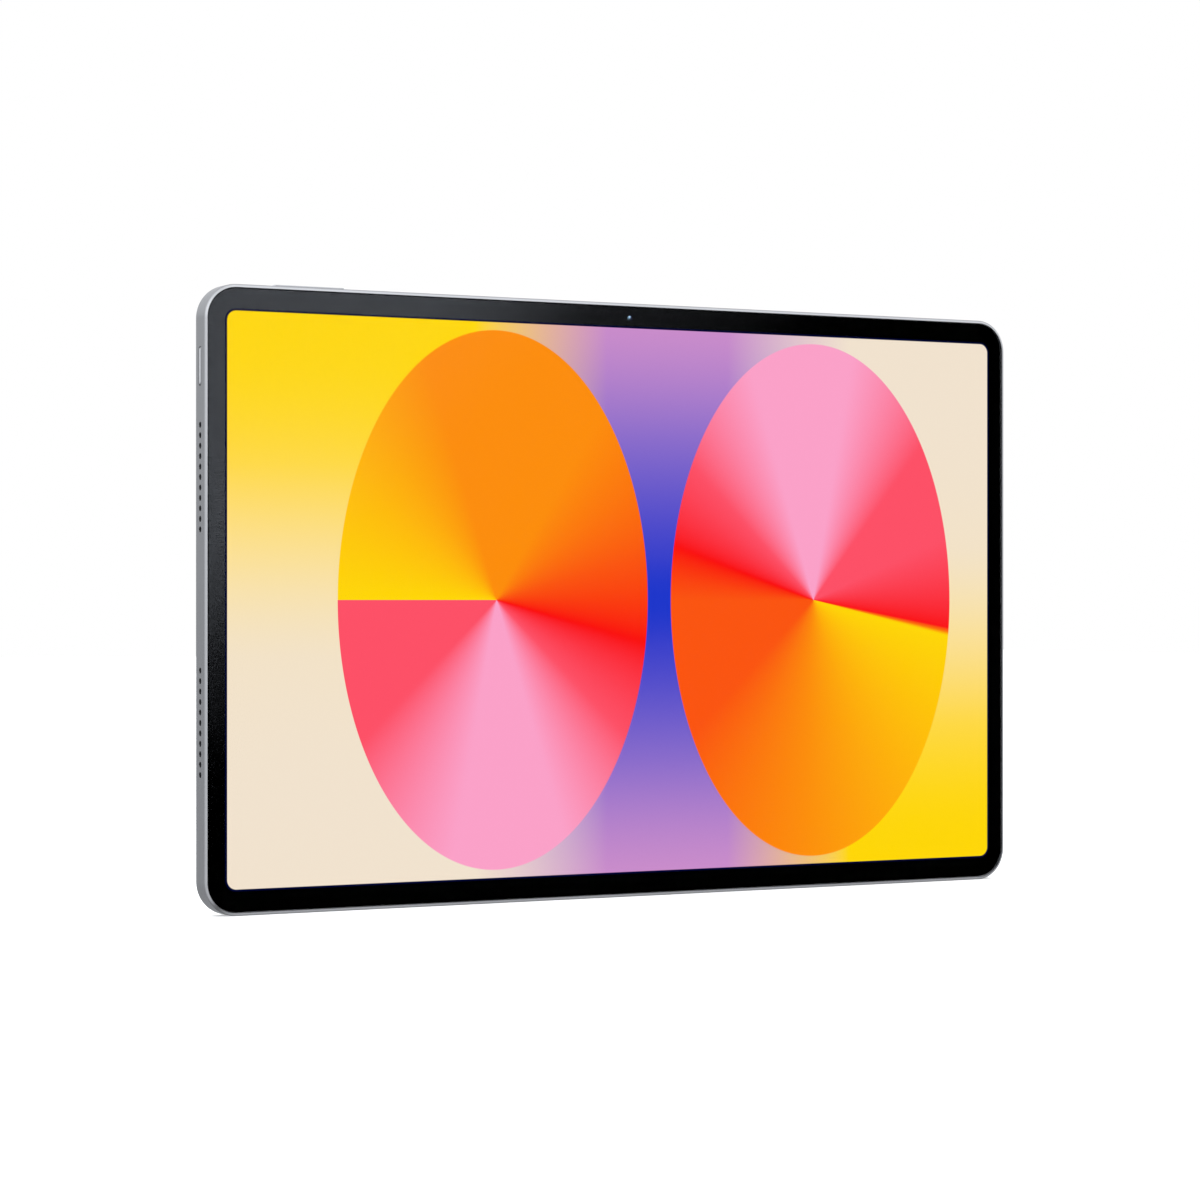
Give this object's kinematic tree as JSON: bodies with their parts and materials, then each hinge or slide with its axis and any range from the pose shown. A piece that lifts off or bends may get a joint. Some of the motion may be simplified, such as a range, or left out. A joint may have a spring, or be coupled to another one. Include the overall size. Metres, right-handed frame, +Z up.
{
  "type": "tablet computer",
  "caption": "Slim landscape tablet computer: milled aluminium body, edge-to-edge cover glass over a backlit display, side speaker holes, sprung keys, cameras and a charging socket.",
  "frame": {"origin": "on the outside of the long bottom edge, in the middle of its length, halfway between the face of the cover glass and the back panel", "axes": "+X to the right as the screen is looked at, +Y from the screen to the back, +Z up, with the tablet upright in landscape"},
  "size_m": [0.2739, 0.0078, 0.1781],
  "materials": {
    "anodised_aluminium": "bead-blasted and anodised grey, polished edge line",
    "cover_glass": "polished, clear",
    "camera_glass": "polished, dark coated",
    "lcd_panel": "smooth panel, lit from behind",
    "clear_sheet": "clear to milky optical plastic",
    "adhesive": "black foam tape",
    "black_plastic": "fine matte, moulded",
    "grey_plastic": "fine matte, flush with the metal",
    "white_lamp": "white package with a yellow phosphor",
    "sheet_steel": "rolled, nickel plated",
    "flexible_circuit": "amber film over copper",
    "circuit_board": "green solder mask",
    "chip_package": "moulded epoxy",
    "battery_pouch": "black foil laminate",
    "graphite": "dark grey foil with a dull sheen",
    "speaker_cone": "black film",
    "mesh_cloth": "fine black woven mesh"
  },
  "bodies": {
    "tablet": {"rear_housing": "anodised_aluminium", "antenna_window_left": "grey_plastic", "antenna_window_right": "grey_plastic", "cover_glass": "cover_glass", "display_adhesive": "adhesive", "lcd_panel": "lcd_panel", "optical_film_stack": "clear_sheet", "light_guide_plate": "clear_sheet", "backlight_led_strip": "white_lamp", "backlight_tray": "sheet_steel", "display_driver_board": "circuit_board", "display_flex": "flexible_circuit", "graphite_sheet": "graphite", "battery_cell_left": "battery_pouch", "battery_cell_right": "battery_pouch", "battery_protection_board": "circuit_board", "battery_flex": "flexible_circuit", "main_board": "circuit_board", "shield_can_processor": "sheet_steel", "shield_can_radio": "sheet_steel", "processor_chip": "chip_package", "storage_chip": "chip_package", "radio_chip": "chip_package", "front_camera_body": "black_plastic", "front_camera_lens": "camera_glass", "rear_camera_body": "sheet_steel", "camera_island": "anodised_aluminium", "rear_camera_window": "camera_glass", "flash_lens": "clear_sheet", "flash_led": "white_lamp", "power_switch": "black_plastic", "volume_down_switch": "black_plastic", "volume_up_switch": "black_plastic", "key_flex": "flexible_circuit", "speaker_box_lower_left": "black_plastic", "speaker_box_upper_left": "black_plastic", "speaker_box_lower_right": "black_plastic", "speaker_box_upper_right": "black_plastic", "speaker_mesh_lower_left": "mesh_cloth", "speaker_mesh_upper_left": "mesh_cloth", "speaker_mesh_lower_right": "mesh_cloth", "speaker_mesh_upper_right": "mesh_cloth", "microphone": "sheet_steel", "charging_socket_shell": "sheet_steel", "charging_socket_tongue": "black_plastic", "charge_board": "circuit_board", "charge_flex": "flexible_circuit", "main_board_screw_1": "sheet_steel", "main_board_screw_2": "sheet_steel", "main_board_screw_3": "sheet_steel", "main_board_screw_4": "sheet_steel", "charge_board_screw_1": "sheet_steel", "charge_board_screw_2": "sheet_steel"},
    "power_key": {"power_button": "anodised_aluminium"},
    "volume_key": {"volume_rocker": "anodised_aluminium"},
    "focusing_lens": {"rear_camera_lens_barrel": "black_plastic"},
    "cone_lower_left": {"speaker_cone_lower_left": "speaker_cone"},
    "cone_upper_left": {"speaker_cone_upper_left": "speaker_cone"},
    "cone_lower_right": {"speaker_cone_lower_right": "speaker_cone"},
    "cone_upper_right": {"speaker_cone_upper_right": "speaker_cone"}
  },
  "joints": [
    {"name": "power_button_press", "type": "slide", "parent": "tablet", "child": "power_key", "axis": [1, 0, 0], "range_m": [0, 0.00015], "stiffness_N_per_m": 2000},
    {"name": "volume_rocker_tilt", "type": "hinge", "parent": "tablet", "child": "volume_key", "pos_m": [-0.1038, 0, 0.1748], "axis": [0, 1, 0], "range_deg": [-1, 1], "stiffness_Nm_per_rad": 0.6},
    {"name": "rear_camera_focus", "type": "slide", "parent": "tablet", "child": "focusing_lens", "axis": [0, 1, 0], "range_m": [0, 0.0003], "stiffness_N_per_m": 300},
    {"name": "cone_stroke_lower_left", "type": "slide", "parent": "tablet", "child": "cone_lower_left", "axis": [0, 1, 0], "range_m": [-0.00025, 0.00025], "stiffness_N_per_m": 500},
    {"name": "cone_stroke_upper_left", "type": "slide", "parent": "tablet", "child": "cone_upper_left", "axis": [0, 1, 0], "range_m": [-0.00025, 0.00025], "stiffness_N_per_m": 500},
    {"name": "cone_stroke_lower_right", "type": "slide", "parent": "tablet", "child": "cone_lower_right", "axis": [0, 1, 0], "range_m": [-0.00025, 0.00025], "stiffness_N_per_m": 500},
    {"name": "cone_stroke_upper_right", "type": "slide", "parent": "tablet", "child": "cone_upper_right", "axis": [0, 1, 0], "range_m": [-0.00025, 0.00025], "stiffness_N_per_m": 500}
  ]
}
